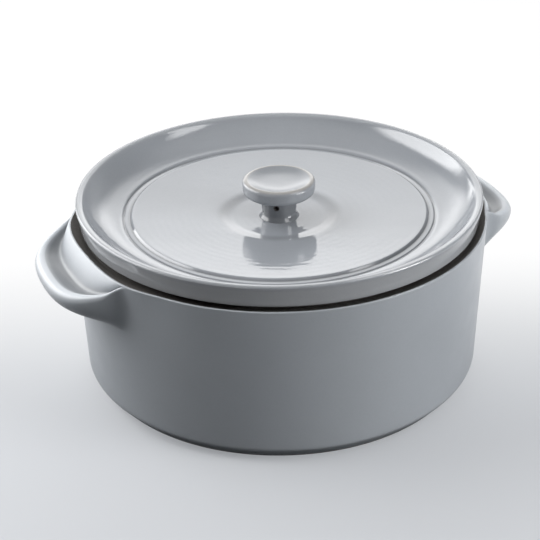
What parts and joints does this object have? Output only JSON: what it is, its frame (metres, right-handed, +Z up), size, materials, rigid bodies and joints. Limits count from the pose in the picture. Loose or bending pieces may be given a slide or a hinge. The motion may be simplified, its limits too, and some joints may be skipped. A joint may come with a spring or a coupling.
{
  "type": "casserole dish",
  "caption": "Round straight-walled stoneware casserole with scooped ear handles and a lift-off, dish-shaped lid with a mushroom knob.",
  "frame": {"origin": "centre of the foot ring, on the surface that the pot stands on", "axes": "+Z up along the pot's axis, X along the line through the two handles, with handle_left at -X and handle_right at +X"},
  "size_m": [0.2864, 0.2388, 0.116],
  "materials": {
    "pot_glaze": "satin grey glaze on stoneware, bare clay on the gallery and the foot ring",
    "handle_glaze": "semi-gloss grey glaze on stoneware",
    "lid_glaze": "glossy grey glaze on stoneware, bare clay on the seat ring",
    "knob_glaze": "glossy grey glaze on stoneware"
  },
  "bodies": {
    "pot": {"pot_body": "pot_glaze", "handle_left": "handle_glaze", "handle_right": "handle_glaze"},
    "lid": {"lid": "lid_glaze", "lid_knob": "knob_glaze"}
  },
  "joints": [
    {"name": "lid_lift", "type": "slide", "parent": "pot", "child": "lid", "axis": [0, 0, 1], "range_m": [0, 0.13]}
  ]
}
